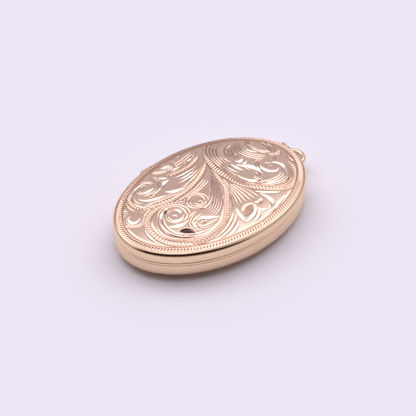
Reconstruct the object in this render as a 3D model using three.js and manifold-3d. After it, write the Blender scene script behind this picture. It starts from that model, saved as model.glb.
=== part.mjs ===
// Oval hinged picture locket: two shallow domed covers, each with a soldered rim, joined by a
// five-knuckle joint at 9 o'clock and closed by a lip that snaps into the opposite rim.
// The back rim shows as a narrow band under the opening line; the front rim is hidden inside.
// A flat wire bow is soldered to the back half at 12 o'clock and carries a free jump ring.
// Millimetres. +Y towards the bow, +Z out of the engraved front, -X is the hinge side.
// The origin is the centre of the small flat on the back, so z = 0 is the surface it lies on.
import * as THREE from 'three';
import Module from 'manifold-3d';
import { mergeVertices } from 'three/addons/utils/BufferGeometryUtils.js';

const wasm = await Module();
wasm.setup();

// ---------------------------------------------------------------- driving dimensions
const BODY_LENGTH = 34.0;
const BODY_WIDTH = 23.3;
const SHOULDER_RADIUS = 1.0;
const SHEET = 0.45;
const SOLDER_GAP = 0.03;
const OUTLINE_SEGMENTS = 56;

// Each half: side of the opening line, side wall, dome above the shoulder, rim collar, frame face.
const FRONT = { side: 1, wall: 0.84, domeRise: 0.85, collarHeight: 0.8, frameFace: 0.66 };
const BACK = { side: -1, wall: 1.68, domeRise: 0.84, collarHeight: 1.0, frameFace: 0.5 };

const RIM = {
  band: 0.37,
  bandInset: 0.02,
  splitLine: 0.03,
  collarOuter: 0.48,
  collarInner: 0.8,
  lipOuter: 0.85,
  lipInner: 1.1,
  lipRise: 0.6,
  lipFoot: 0.45,
};

const FRAME = { wallOuter: 0.83, wallInner: 1.0, flangeInner: 1.8, flange: 0.12, wallDepth: 0.62 };
const WINDOW = { inset: 1.05, thickness: 0.14, gap: 0.03 };
const CARD = { inset: 1.1, thickness: 0.2, gap: 0.04 };

const HINGE = {
  length: 7.0,
  knuckles: 5,
  knuckleGap: 0.08,
  barrelRadius: 0.5,
  pinRadius: 0.22,
  boreRadius: 0.27,
  headRadius: 0.34,
  headFlatRadius: 0.2,
  headLength: 0.16,
  headGap: 0.02,
  wallClearance: 0.05,
  bearerDepth: 0.62,
  bearerStart: 0.06,
  bearerRelief: 0.04,
};

const BOW = { meanRadius: 1.85, wire: 0.46, centreBeyondEnd: 0.95, belowSeam: 1.22 };
const JUMP_RING = { meanRadius: 2.1, wire: 0.33, centre: [-0.99, 18.96, 2.0], lean: 52.4, heading: 63.7 };

const HALF_WIDTH = BODY_WIDTH / 2;
const HALF_LENGTH = BODY_LENGTH / 2;
const DOME_FLAT_SHARE = 0.2;
const SEAM_Z = BACK.wall + SHOULDER_RADIUS + BACK.domeRise;

// How many sides the round shapes get, and how far a cutting body overlaps what it cuts.
const SIDES = { bore: 12, barrel: 16, trough: 24, pin: 12, wire: 8, bow: 28, jumpRing: 30 };
const CUT_MARGIN = 1.0;
const WELD_DISTANCE = 1e-5;

// ---------------------------------------------------------------- finishes
function finish(color, roughness, metalness, extra = {}) {
  return new THREE.MeshStandardMaterial({ color, roughness, metalness, ...extra });
}

const roseGold = () => finish(0xc9a084, 0.24, 1.0);
const yellowGold = () => finish(0xd2ab78, 0.26, 1.0);
const satinGold = () => finish(0xc7a07c, 0.38, 1.0);
const pinSteel = () => finish(0xb89a7c, 0.3, 1.0);
const clearFilm = () => finish(0xf4f4f0, 0.08, 0.0, { transparent: true, opacity: 0.3 });
const cardStock = () => finish(0xf1ead9, 0.85, 0.0);

// ---------------------------------------------------------------- outline and section helpers
// A point on the outline moved inwards, square to the outline, by the given inset.
function outlinePoint(angle, inset) {
  const x = HALF_WIDTH * Math.cos(angle);
  const y = HALF_LENGTH * Math.sin(angle);
  const normalX = Math.cos(angle) / HALF_WIDTH;
  const normalY = Math.sin(angle) / HALF_LENGTH;
  const size = Math.hypot(normalX, normalY);
  return new THREE.Vector2(x - (inset * normalX) / size, y - (inset * normalY) / size);
}

function outline(inset) {
  const points = [];
  for (let i = 0; i < OUTLINE_SEGMENTS; i += 1) {
    points.push(outlinePoint((2 * Math.PI * i) / OUTLINE_SEGMENTS, inset));
  }
  return points;
}

// A closed body from a stack of outline loops; the first and last loops are closed by a fan.
// Each loop is { inset, scale, z }, listed so that the surface faces out.
function stackedLoops(loops) {
  const positions = [];
  const faces = [];
  const n = OUTLINE_SEGMENTS;
  for (const { inset, scale = 1, z } of loops) {
    for (const point of outline(inset)) {
      positions.push(point.x * scale, point.y * scale, z);
    }
  }
  for (let row = 0; row + 1 < loops.length; row += 1) {
    for (let i = 0; i < n; i += 1) {
      const a = row * n + i;
      const b = row * n + ((i + 1) % n);
      faces.push(a, b, b + n, a, b + n, a + n);
    }
  }
  const firstCentre = positions.length / 3;
  positions.push(0, 0, loops[0].z);
  positions.push(0, 0, loops[loops.length - 1].z);
  const lastRow = (loops.length - 1) * n;
  for (let i = 0; i < n; i += 1) {
    faces.push(firstCentre, (i + 1) % n, i);
    faces.push(firstCentre + 1, lastRow + i, lastRow + ((i + 1) % n));
  }
  return indexedGeometry(positions, faces);
}

// A closed ring whose cross-section is a list of [inset, z] points.
function ringOfSection(section) {
  const positions = [];
  const faces = [];
  const n = OUTLINE_SEGMENTS;
  const rows = section.length;
  for (const [inset, z] of section) {
    for (const point of outline(inset)) {
      positions.push(point.x, point.y, z);
    }
  }
  for (let row = 0; row < rows; row += 1) {
    const next = (row + 1) % rows;
    for (let i = 0; i < n; i += 1) {
      const j = (i + 1) % n;
      faces.push(row * n + i, row * n + j, next * n + j);
      faces.push(row * n + i, next * n + j, next * n + i);
    }
  }
  return facingOut(indexedGeometry(positions, faces));
}

function indexedGeometry(positions, faces) {
  const geometry = new THREE.BufferGeometry();
  geometry.setAttribute('position', new THREE.Float32BufferAttribute(positions, 3));
  geometry.setIndex(faces);
  return geometry;
}

function signedVolume(geometry) {
  const p = geometry.getAttribute('position');
  const index = geometry.getIndex();
  const [a, b, c] = [new THREE.Vector3(), new THREE.Vector3(), new THREE.Vector3()];
  let volume = 0;
  for (let i = 0; i < index.count; i += 3) {
    a.fromBufferAttribute(p, index.getX(i));
    b.fromBufferAttribute(p, index.getX(i + 1));
    c.fromBufferAttribute(p, index.getX(i + 2));
    volume += a.dot(b.cross(c)) / 6;
  }
  return volume;
}

function facingOut(geometry) {
  if (signedVolume(geometry) > 0) {
    return geometry;
  }
  const index = geometry.getIndex().array;
  for (let i = 0; i < index.length; i += 3) {
    [index[i], index[i + 1]] = [index[i + 1], index[i]];
  }
  return geometry;
}

// ---------------------------------------------------------------- solids
function toSolid(geometry) {
  const bare = geometry.clone();
  bare.deleteAttribute('normal');
  bare.deleteAttribute('uv');
  const merged = facingOut(mergeVertices(bare, WELD_DISTANCE));
  const vertProperties = new Float32Array(merged.getAttribute('position').array);
  const triVerts = new Uint32Array(merged.getIndex().array);
  return new wasm.Manifold(new wasm.Mesh({ numProp: 3, vertProperties, triVerts }));
}

function toGeometry(solid) {
  const mesh = solid.getMesh();
  return indexedGeometry(Array.from(mesh.vertProperties), Array.from(mesh.triVerts));
}

// The space taken by the locket body, grown outwards, between two heights.
function bodyBlock(grow, low, high) {
  const shape = new THREE.Shape(outline(-grow));
  const geometry = new THREE.ExtrudeGeometry(shape, { depth: high - low, bevelEnabled: false });
  return toSolid(geometry.translate(0, 0, low));
}

function cylinderAlongY(radius, length, sides) {
  return new THREE.CylinderGeometry(radius, radius, length, sides);
}

// Heights above the seam of one half, as heights above the resting surface.
// side is +1 for the front half and -1 for the back half.
const level = (side, height) => SEAM_Z + side * height;

// ---------------------------------------------------------------- the two halves
// One skin of a cover, from the top of its wall round the shoulder and over the dome.
// offset is 0 for the outside and the sheet thickness for the inside.
function coverSkin(half, offset) {
  const loops = [];
  const radius = SHOULDER_RADIUS - offset;
  const shoulderSteps = 4;
  const domeSteps = 4;
  for (let i = 0; i <= shoulderSteps; i += 1) {
    const turn = (Math.PI / 2) * (i / shoulderSteps);
    const inset = SHOULDER_RADIUS - radius * Math.cos(turn);
    loops.push({ inset, scale: 1, height: half.wall + radius * Math.sin(turn) });
  }
  for (let i = 1; i <= domeSteps; i += 1) {
    const scale = 1 - (1 - DOME_FLAT_SHARE) * (i / domeSteps);
    const rise = (half.domeRise * (1 - scale ** 2)) / (1 - DOME_FLAT_SHARE ** 2);
    loops.push({ inset: SHOULDER_RADIUS, scale, height: half.wall + radius + rise });
  }
  return loops;
}

// edge is the height of the cover's free edge from the opening line.
function coverGeometry(half, edge) {
  const outer = [{ inset: 0, scale: 1, height: edge }, ...coverSkin(half, 0)];
  const inner = [{ inset: SHEET, scale: 1, height: edge }, ...coverSkin(half, SHEET)];
  const loops = [...inner.reverse(), ...outer];
  const placed = loops.map(({ inset, scale, height }) => ({ inset, scale, z: level(half.side, height) }));
  return facingOut(stackedLoops(placed));
}

// A ring from a section whose heights are counted from the opening line.
function halfRing(half, section) {
  return ringOfSection(section.map(([inset, height]) => [inset, level(half.side, height)]));
}

// Visible band, collar inside the back cover, and the lip that snaps into the front rim.
function backRimGeometry() {
  const foot = RIM.splitLine + RIM.band;
  return halfRing(BACK, [
    [RIM.bandInset, RIM.splitLine],
    [RIM.bandInset, foot],
    [RIM.collarOuter, foot],
    [RIM.collarOuter, BACK.collarHeight],
    [RIM.collarInner, BACK.collarHeight],
    [RIM.collarInner, RIM.lipFoot],
    [RIM.lipInner, RIM.lipFoot],
    [RIM.lipInner, -RIM.lipRise],
    [RIM.lipOuter, -RIM.lipRise],
    [RIM.lipOuter, RIM.splitLine],
  ]);
}

// Plain collar soldered inside the front cover.
function frontRimGeometry() {
  return halfRing(FRONT, [
    [RIM.collarOuter, RIM.splitLine],
    [RIM.collarOuter, FRONT.collarHeight],
    [RIM.collarInner, FRONT.collarHeight],
    [RIM.collarInner, RIM.splitLine],
  ]);
}

// Spring-fit photo frame: a wall that grips the rim collar and a flat flange round the picture.
function photoFrameGeometry(half) {
  const face = half.frameFace;
  return halfRing(half, [
    [FRAME.wallOuter, face],
    [FRAME.wallOuter, face + FRAME.wallDepth],
    [FRAME.wallInner, face + FRAME.wallDepth],
    [FRAME.wallInner, face + FRAME.flange],
    [FRAME.flangeInner, face + FRAME.flange],
    [FRAME.flangeInner, face],
  ]);
}

function plateGeometry(half, plate, near) {
  const loops = [
    { inset: plate.inset, z: level(half.side, near) },
    { inset: plate.inset, z: level(half.side, near + plate.thickness) },
  ];
  return facingOut(stackedLoops(loops));
}

function windowGeometry(half) {
  return plateGeometry(half, WINDOW, half.frameFace + FRAME.flange + WINDOW.gap);
}

function cardGeometry(half) {
  const windowFar = half.frameFace + FRAME.flange + WINDOW.gap + WINDOW.thickness;
  return plateGeometry(half, CARD, windowFar + CARD.gap);
}

// ---------------------------------------------------------------- hinge
const HINGE_X = -(HALF_WIDTH + HINGE.barrelRadius + HINGE.wallClearance);
const KNUCKLE_PITCH = HINGE.length / HINGE.knuckles;

// Geometry built along Y about the origin, moved to the hinge line at the given height along it.
function onHingeLine(geometry, y = 0) {
  return geometry.translate(HINGE_X, y, SEAM_Z);
}

function knuckleGeometry(index) {
  const length = KNUCKLE_PITCH - HINGE.knuckleGap;
  const bore = toSolid(cylinderAlongY(HINGE.boreRadius, length + CUT_MARGIN, SIDES.bore));
  const barrel = toSolid(cylinderAlongY(HINGE.barrelRadius, length, SIDES.barrel)).subtract(bore);
  const y = (index - (HINGE.knuckles - 1) / 2) * KNUCKLE_PITCH;
  return onHingeLine(toGeometry(barrel), y);
}

function pinGeometry() {
  const headStart = HINGE.length / 2 + HINGE.headGap;
  const headEnd = HINGE.length / 2 + HINGE.headLength;
  const profile = [
    [0, -headEnd],
    [HINGE.headFlatRadius, -headEnd],
    [HINGE.headRadius, -headStart],
    [HINGE.pinRadius, -headStart],
    [HINGE.pinRadius, headStart],
    [HINGE.headRadius, headStart],
    [HINGE.headFlatRadius, headEnd],
    [0, headEnd],
  ];
  const points = profile.map(([radius, y]) => new THREE.Vector2(radius, y));
  return onHingeLine(new THREE.LatheGeometry(points, SIDES.pin));
}

// The saddle soldered between a half's side wall and its knuckles.
function bearerGeometry(half) {
  const halfLength = HINGE.length / 2;
  const wallPoints = [];
  const steps = 8;
  for (let i = 0; i <= steps; i += 1) {
    const y = -halfLength + (HINGE.length * i) / steps;
    const share = Math.sqrt(1 - (y / (HALF_LENGTH + SOLDER_GAP)) ** 2);
    wallPoints.push(new THREE.Vector2(-(HALF_WIDTH + SOLDER_GAP) * share, y));
  }
  const corners = [new THREE.Vector2(HINGE_X, halfLength), new THREE.Vector2(HINGE_X, -halfLength)];
  const shape = new THREE.Shape([...wallPoints, ...corners]);
  const depth = HINGE.bearerDepth - HINGE.bearerStart;
  const block = new THREE.ExtrudeGeometry(shape, { depth, bevelEnabled: false });
  const ends = [level(half.side, HINGE.bearerStart), level(half.side, HINGE.bearerDepth)];
  block.translate(0, 0, Math.min(...ends));
  const relief = HINGE.barrelRadius + HINGE.bearerRelief;
  const trough = onHingeLine(cylinderAlongY(relief, HINGE.length + CUT_MARGIN, SIDES.trough));
  return toGeometry(toSolid(block).subtract(toSolid(trough)));
}

// ---------------------------------------------------------------- bow and jump ring
// A full wire ring in the XY plane, as a lathe about Y turned flat.
function wireRing({ meanRadius, wire }, around) {
  const section = [];
  for (let i = 0; i <= SIDES.wire; i += 1) {
    const turn = (2 * Math.PI * (i % SIDES.wire)) / SIDES.wire;
    section.push(new THREE.Vector2(meanRadius + wire * Math.cos(turn), wire * Math.sin(turn)));
  }
  return new THREE.LatheGeometry(section, around).rotateX(Math.PI / 2);
}

function bowGeometry() {
  const ring = wireRing(BOW, SIDES.bow);
  ring.translate(0, HALF_LENGTH + BOW.centreBeyondEnd, SEAM_Z - BOW.belowSeam);
  const body = bodyBlock(SOLDER_GAP, -CUT_MARGIN, SEAM_Z + CUT_MARGIN);
  return toGeometry(toSolid(ring).subtract(body));
}

// ---------------------------------------------------------------- assembly
function piece(name, geometry, material) {
  const mesh = new THREE.Mesh(geometry, material);
  mesh.name = name;
  return mesh;
}

function backHalf() {
  const group = new THREE.Group();
  const edge = RIM.splitLine + RIM.band + SOLDER_GAP;
  group.add(piece('back_cover', coverGeometry(BACK, edge), roseGold()));
  group.add(piece('back_rim', backRimGeometry(), roseGold()));
  group.add(piece('back_photo_frame', photoFrameGeometry(BACK), satinGold()));
  group.add(piece('back_window', windowGeometry(BACK), clearFilm()));
  group.add(piece('back_picture_card', cardGeometry(BACK), cardStock()));
  group.add(piece('hinge_bearer_back', bearerGeometry(BACK), yellowGold()));
  group.add(piece('hinge_pin', pinGeometry(), pinSteel()));
  group.add(piece('bow', bowGeometry(), yellowGold()));
  return group;
}

function frontHalf() {
  const group = new THREE.Group();
  group.add(piece('front_cover', coverGeometry(FRONT, RIM.splitLine), roseGold()));
  group.add(piece('front_rim', frontRimGeometry(), roseGold()));
  group.add(piece('front_photo_frame', photoFrameGeometry(FRONT), satinGold()));
  group.add(piece('front_window', windowGeometry(FRONT), clearFilm()));
  group.add(piece('front_picture_card', cardGeometry(FRONT), cardStock()));
  group.add(piece('hinge_bearer_front', bearerGeometry(FRONT), yellowGold()));
  return group;
}

// Knuckles alternate along the hinge: the odd ones belong to the back half.
function knuckles() {
  const group = new THREE.Group();
  const count = { back: 0, front: 0 };
  for (let i = 0; i < HINGE.knuckles; i += 1) {
    const half = i % 2 === 0 ? 'back' : 'front';
    count[half] += 1;
    group.add(piece(`hinge_knuckle_${half}_${count[half]}`, knuckleGeometry(i), yellowGold()));
  }
  return group;
}

function jumpRing() {
  const ring = piece('jump_ring', wireRing(JUMP_RING, SIDES.jumpRing), yellowGold());
  const lean = THREE.MathUtils.degToRad(JUMP_RING.lean);
  const heading = THREE.MathUtils.degToRad(JUMP_RING.heading);
  const normal = new THREE.Vector3(
    Math.sin(lean) * Math.cos(heading),
    Math.sin(lean) * Math.sin(heading),
    Math.cos(lean),
  );
  ring.quaternion.setFromUnitVectors(new THREE.Vector3(0, 0, 1), normal);
  ring.position.set(...JUMP_RING.centre);
  return ring;
}

const locket = new THREE.Group();
locket.add(backHalf(), frontHalf(), knuckles(), jumpRing());

export default locket;
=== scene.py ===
"""Oval engraved locket: the looks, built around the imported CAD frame.

Lengths in this script are in millimetres unless a name ends in _M; meshes are scaled to metres
when they are made. Plan positions on the engraved front are (x, y) seen from the front, +y to the bow.
"""
import math

import bpy
import numpy as np
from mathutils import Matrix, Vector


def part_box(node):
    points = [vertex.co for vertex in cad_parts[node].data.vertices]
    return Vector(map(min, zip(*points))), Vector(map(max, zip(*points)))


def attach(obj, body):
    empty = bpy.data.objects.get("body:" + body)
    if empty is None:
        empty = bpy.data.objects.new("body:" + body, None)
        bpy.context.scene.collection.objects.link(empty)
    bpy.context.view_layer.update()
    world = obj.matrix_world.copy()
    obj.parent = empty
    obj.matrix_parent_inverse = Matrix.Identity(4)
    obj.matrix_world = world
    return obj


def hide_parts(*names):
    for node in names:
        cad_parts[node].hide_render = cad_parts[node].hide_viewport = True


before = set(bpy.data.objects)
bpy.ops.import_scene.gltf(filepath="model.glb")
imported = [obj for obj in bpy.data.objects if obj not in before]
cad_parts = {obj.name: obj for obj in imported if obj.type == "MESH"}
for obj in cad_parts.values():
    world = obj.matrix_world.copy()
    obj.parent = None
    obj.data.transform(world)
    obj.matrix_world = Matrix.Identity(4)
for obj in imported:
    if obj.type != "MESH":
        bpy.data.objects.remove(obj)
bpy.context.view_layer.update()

MM = 0.001

# ---------- sizes taken from the frame
cover_low, cover_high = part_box("front_cover")
pin_low, pin_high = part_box("hinge_pin")
bow_low, bow_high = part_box("bow")
HALF_WIDTH = (cover_high[0] - cover_low[0]) / 2 / MM
HALF_LENGTH = (cover_high[1] - cover_low[1]) / 2 / MM
SEAM_Z = (pin_low[2] + pin_high[2]) / 2 / MM
FRONT_DEPTH = cover_high[2] / MM - SEAM_Z

# Each half: its side of the opening line, side wall, depth to the middle of the dome, free edge.
FRONT = {"side": 1, "name": "front", "body": "front_half", "wall": 0.84, "depth": FRONT_DEPTH,
         "edge": 0.035, "collar": 0.8, "frame_face": 0.66}
BACK = {"side": -1, "name": "back", "body": "back_half", "wall": 1.68, "depth": SEAM_Z,
        "edge": 0.43, "collar": 1.0, "frame_face": 0.5}
SHOULDER = 1.0
SHOULDER_TURN = math.radians(81.5)
SHEET = 0.45

# ---------- materials
# Noise: repeats per metre, detail, roughness, stretch along each axis, turn about Z in radians.
CLOUD = {"scale": 180.0, "detail": 5.0, "roughness": 0.6}
SMEAR = {"scale": 420.0, "detail": 6.0, "roughness": 0.65, "stretch": (1, 0.35, 1), "turn": 0.5}
SCRATCH_A = {"scale": 900.0, "detail": 3.0, "stretch": (0.06, 1, 1), "turn": 0.4}
SCRATCH_B = {"scale": 1100.0, "detail": 3.0, "stretch": (1, 0.05, 1), "turn": 0.9}
SCUFF = {"scale": 700.0, "detail": 4.0, "stretch": (1, 0.1, 1), "turn": 0.7}
FOXING = {"scale": 260.0, "detail": 6.0, "roughness": 0.7}
FIBRE = {"scale": 2600.0, "detail": 3.0}

# Rolled gold by slot: name, light tone, dark tone, roughness range, whether it is engraved.
ROSE = ((0.86, 0.64, 0.49, 1), (0.78, 0.55, 0.4, 1))
POLISHED = (0.14, 0.3)
GOLDS = {
    "rose_gold": ("rose_gold_polished", *ROSE, POLISHED, False),
    "engraved_gold": ("rose_gold_engraved", *ROSE, (0.09, 0.22), True),
    "yellow_gold": ("yellow_gold_fittings", (0.9, 0.7, 0.5, 1), (0.8, 0.6, 0.4, 1), POLISHED, False),
    "frame_gold": ("satin_gold_frames", (0.84, 0.62, 0.44, 1), (0.74, 0.52, 0.36, 1), (0.24, 0.42), False),
    "pin_metal": ("drawn_pin_wire", (0.74, 0.56, 0.4, 1), (0.6, 0.44, 0.3, 1), (0.2, 0.4), False),
}
FILM_GLOSS = (0.03, 0.16)
CARD_ROUGHNESS = 0.85
BUMP_DISTANCE_M = 0.00003
SCRATCH_BUMP = 0.12
FIBRE_BUMP = 0.25
# Painted shade in the cuts, orange-brown.
PAINTED_SHADE_COLOR = (0.46, 0.21, 0.115, 1)
# Painted reflection on the side walls: lighter and yellower.
PAINTED_WALL_REFLECTION_COLOR = (0.9, 0.675, 0.46, 1)
# Painted dark reflection, near-black, where the painted shade passes full strength.
PAINTED_DARK_REFLECTION_COLOR = (0.03, 0.025, 0.04, 1)
# Painted highlight, near-white.
PAINTED_HIGHLIGHT_COLOR = (0.98, 0.86, 0.77, 1)
FULL_PAINTED_SHADE = 1.0
FILM_COLOR = (0.97, 0.97, 0.95, 1)
FILM_IOR = 1.47
FILM_ALPHA = 0.22
CARD_LIGHT = (0.86, 0.81, 0.7, 1)
CARD_FOXED = (0.72, 0.62, 0.46, 1)


def shader(name):
    material = bpy.data.materials.new(name)
    material.use_nodes = True
    return material, material.node_tree, material.node_tree.nodes["Principled BSDF"]


def fill(tree, node, inputs):
    """Sets each input of a node to a value, or links it from the socket that is given for it."""
    for key, value in inputs.items():
        if isinstance(value, bpy.types.NodeSocket):
            tree.links.new(value, node.inputs[key])
        else:
            node.inputs[key].default_value = value


def add(tree, kind, output, inputs=None, **settings):
    """Adds a node with its settings and inputs, and gives one of its outputs."""
    node = tree.nodes.new("ShaderNode" + kind)
    for name, value in settings.items():
        setattr(node, name, value)
    fill(tree, node, inputs or {})
    return node.outputs[output]


def noise(tree, scale, detail, roughness=0.55, stretch=(1, 1, 1), turn=0.0):
    """Noise fixed to the piece by its object coordinates."""
    place = add(tree, "TexCoord", "Object")
    place = add(tree, "Mapping", "Vector", {"Vector": place, "Scale": stretch, "Rotation": (0, 0, turn)})
    return add(tree, "TexNoise", "Fac",
               {"Vector": place, "Scale": scale, "Detail": detail, "Roughness": roughness})


def attribute(tree, name):
    """A number stored on the vertices of the mesh."""
    return add(tree, "Attribute", "Fac", attribute_name=name)


def two_tone(tree, factor, *stops):
    """A blend between two (position, colour) stops."""
    color = add(tree, "ValToRGB", "Color", {"Fac": factor})
    for element, (position, tone) in zip(color.node.color_ramp.elements, stops):
        element.position = position
        element.color = tone
    return color


def between(tree, value, low, high):
    """A value from 0 to 1, moved to the range from low to high."""
    return add(tree, "MapRange", "Result", {"Value": value, "To Min": low, "To Max": high})


def mix_color(tree, factor, first, second):
    return add(tree, "Mix", "Result", {"Factor": factor, "A": first, "B": second}, data_type="RGBA")


def times(tree, first, second):
    return add(tree, "Math", "Value", {0: first, 1: second}, operation="MULTIPLY")


def bump(tree, height, strength):
    return add(tree, "Bump", "Normal",
               {"Height": height, "Strength": strength, "Distance": BUMP_DISTANCE_M})


def worn_gold_with_painted_light(name, light, dark, gloss, engraved):
    """Rolled gold: cloudy colour, uneven gloss, fine wear scratches in two directions; with painted light: a
    painted reflection on the side walls and, when engraved, painted shade and painted highlights.
    """
    material, tree, bsdf = shader(name)
    color = two_tone(tree, noise(tree, **CLOUD), (0.3, dark), (0.7, light))
    # Painted reflection: a lighter, yellower colour on the side walls.
    color = mix_color(tree, attribute(tree, "painted_wall_reflection"), color, PAINTED_WALL_REFLECTION_COLOR)
    if engraved:
        # Painted shade in the cuts.
        painted_shade = attribute(tree, "painted_shade")
        color = mix_color(tree, painted_shade, color, PAINTED_SHADE_COLOR)
        # Painted dark reflection where the painted shade passes full strength.
        painted_dark_share = add(tree, "Math", "Value", {0: painted_shade, 1: FULL_PAINTED_SHADE}, operation="SUBTRACT", use_clamp=True)
        color = mix_color(tree, painted_dark_share, color, PAINTED_DARK_REFLECTION_COLOR)
        # Painted highlight.
        color = mix_color(tree, attribute(tree, "painted_highlight"), color, PAINTED_HIGHLIGHT_COLOR)
    scratches = times(tree, noise(tree, **SCRATCH_A), noise(tree, **SCRATCH_B))
    fill(tree, bsdf, {"Metallic": 1.0, "Base Color": color, "Normal": bump(tree, scratches, SCRATCH_BUMP),
                      "Roughness": between(tree, noise(tree, **SMEAR), *gloss)})
    return material


def clear_film(name):
    """Thin clear plastic with faint scuffs."""
    material, tree, bsdf = shader(name)
    fill(tree, bsdf, {"Base Color": FILM_COLOR, "IOR": FILM_IOR, "Alpha": FILM_ALPHA,
                      "Roughness": between(tree, noise(tree, **SCUFF), *FILM_GLOSS)})
    return material


def blank_card(name):
    """Uncoated cream card with paper fibre and slight foxing."""
    material, tree, bsdf = shader(name)
    color = two_tone(tree, noise(tree, **FOXING), (0.35, CARD_FOXED), (0.55, CARD_LIGHT))
    fill(tree, bsdf, {"Base Color": color, "Roughness": CARD_ROUGHNESS,
                      "Normal": bump(tree, noise(tree, **FIBRE), FIBRE_BUMP)})
    return material


MATERIALS = {slot: worn_gold_with_painted_light(*look) for slot, look in GOLDS.items()}
MATERIALS["clear_window"] = clear_film("clear_film")
MATERIALS["picture_card"] = blank_card("blank_card")

# ---------- mesh helpers
OUTLINE_STEPS = 288
ROUNDING_STEPS = 3
ROUNDING_SHARE = 0.45


def new_object(name, data):
    thing = bpy.data.objects.new(name, data)
    bpy.context.scene.collection.objects.link(thing)
    return thing


def new_piece(name, shape, body, slot, nodes, smooth=True):
    """Makes a mesh piece in metres, rides it on its body and hides the CAD nodes that it takes the place of.
    """
    points, faces = shape
    mesh = bpy.data.meshes.new(name)
    mesh.from_pydata((np.asarray(points) * MM).tolist(), [], outward(points, faces))
    mesh.validate()
    mesh.polygons.foreach_set("use_smooth", [smooth] * len(mesh.polygons))
    mesh.materials.append(MATERIALS[slot])
    piece = new_object(name, mesh)
    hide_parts(*nodes)
    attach(piece, body)
    return piece


def outward(points, faces):
    """Turns every face over if the closed shape is inside out."""
    v = np.asarray(points)
    volume = 0.0
    for face in faces:
        a = v[face[0]]
        for k in range(1, len(face) - 1):
            volume += np.dot(a, np.cross(v[face[k]], v[face[k + 1]]))
    return faces if volume > 0 else [tuple(reversed(face)) for face in faces]


def ellipse_points(angle, inset):
    """Points on the outline, moved inwards square to it."""
    x = HALF_WIDTH * np.cos(angle)
    y = HALF_LENGTH * np.sin(angle)
    nx = np.cos(angle) / HALF_WIDTH
    ny = np.sin(angle) / HALF_LENGTH
    size = np.hypot(nx, ny)
    return x - inset * nx / size, y - inset * ny / size


def outline_row(inset, z):
    """A loop of points that follows the outline."""
    angle = np.linspace(0, 2 * math.pi, OUTLINE_STEPS, endpoint=False)
    x, y = ellipse_points(angle, inset)
    return np.stack([x, y, np.full(OUTLINE_STEPS, z)], 1)


def loft(rows, closed):
    """Points and faces through loops of points; an open loft gets a flat cap at both ends."""
    count = len(rows[0])
    last = (len(rows) - 1) * count
    faces = []
    for r in range(len(rows) if closed else len(rows) - 1):
        a = r * count
        b = (r + 1) % len(rows) * count
        for i in range(count):
            j = (i + 1) % count
            faces.append((a + i, a + j, b + j, b + i))
    if not closed:
        faces.append(tuple(range(count - 1, -1, -1)))
        faces.append(tuple(range(last, last + count)))
    return np.concatenate(rows), faces


def rounded(section, radius):
    """A closed section with its corners turned into small arcs."""
    points = np.asarray(section, float)
    result = []
    for i, corner in enumerate(points):
        before = points[i - 1] - corner
        after = points[(i + 1) % len(points)] - corner
        sides = np.linalg.norm(before), np.linalg.norm(after)
        reach = min(radius, ROUNDING_SHARE * min(sides))
        start = corner + before / sides[0] * reach
        end = corner + after / sides[1] * reach
        for t in np.linspace(0, 1, ROUNDING_STEPS + 1):
            result.append((1 - t) ** 2 * start + 2 * t * (1 - t) * corner + t ** 2 * end)
    return result


def level(half, height):
    """A height counted from the opening line, as a height above the table."""
    return SEAM_Z + half["side"] * height


# ---------- engraving: curves and maps
CURVE_STEP = 0.05
SPAN_SAMPLES = 24
CELL = 0.04
MAP_MARGIN = 0.4
MAP_X = HALF_WIDTH + MAP_MARGIN
MAP_Y = HALF_LENGTH + MAP_MARGIN
MAP_SIZE = (int(2 * MAP_Y / CELL), int(2 * MAP_X / CELL))
relief = np.zeros(MAP_SIZE)
# Maps of painted shade and painted highlight strength.
painted_shade_map = np.zeros(MAP_SIZE)
painted_highlight_map = np.zeros(MAP_SIZE)


def arc_length(curve):
    """Distance along a curve at each of its points."""
    return np.concatenate([[0], np.cumsum(np.linalg.norm(np.diff(curve, axis=0), axis=1))])


def unit_tangent(curve):
    tangent = np.gradient(curve, axis=0)
    return tangent / (np.linalg.norm(tangent, axis=1)[:, None] + 1e-9)


def clamped(values):
    """The values, held between 0 and 1."""
    return np.clip(values, 0, 1)


def catmull(points):
    """A smooth curve through the given points, resampled at an even step."""
    p = np.asarray(points, float)
    p = np.concatenate([[2 * p[0] - p[1]], p, [2 * p[-1] - p[-2]]])
    pieces = []
    for a, b, c, d in zip(p[:-3], p[1:-2], p[2:-1], p[3:]):
        t = np.linspace(0, 1, SPAN_SAMPLES, endpoint=False)[:, None]
        cubic = -a + 3 * b - 3 * c + d
        square = 2 * a - 5 * b + 4 * c - d
        pieces.append(0.5 * (2 * b + (c - a) * t + square * t ** 2 + cubic * t ** 3))
    curve = np.concatenate(pieces + [p[-2:-1]])
    length = arc_length(curve)
    even = np.arange(0, length[-1], CURVE_STEP)
    return np.stack([np.interp(even, length, curve[:, k]) for k in (0, 1)], 1)


def near_curve(curve, reach):
    """Distance across, side and distance along the curve, for the map cells within reach of it."""
    across = np.full(MAP_SIZE, np.inf)
    side = np.zeros(MAP_SIZE)
    along = np.zeros(MAP_SIZE)
    arc = arc_length(curve)
    half = int(math.ceil(reach / CELL)) + 1
    for (x, y), (tx, ty), s in zip(curve, unit_tangent(curve), arc):
        column = int((x + MAP_X) / CELL)
        row = int((y + MAP_Y) / CELL)
        r0, r1 = max(row - half, 0), min(row + half + 1, MAP_SIZE[0])
        c0, c1 = max(column - half, 0), min(column + half + 1, MAP_SIZE[1])
        if r0 >= r1 or c0 >= c1:
            continue
        dx = (np.arange(c0, c1) + 0.5) * CELL - MAP_X - x
        dy = ((np.arange(r0, r1) + 0.5) * CELL - MAP_Y - y)[:, None]
        distance = np.hypot(dx, dy)
        window = across[r0:r1, c0:c1]
        nearer = distance < window
        window[nearer] = distance[nearer]
        side[r0:r1, c0:c1][nearer] = (tx * dy - ty * dx)[nearer]
        along[r0:r1, c0:c1][nearer] = (s + tx * dx + ty * dy)[nearer]
    inside = np.nonzero(across <= reach)
    return inside, across[inside], np.sign(side[inside]) * across[inside], along[inside], arc[-1]
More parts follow.
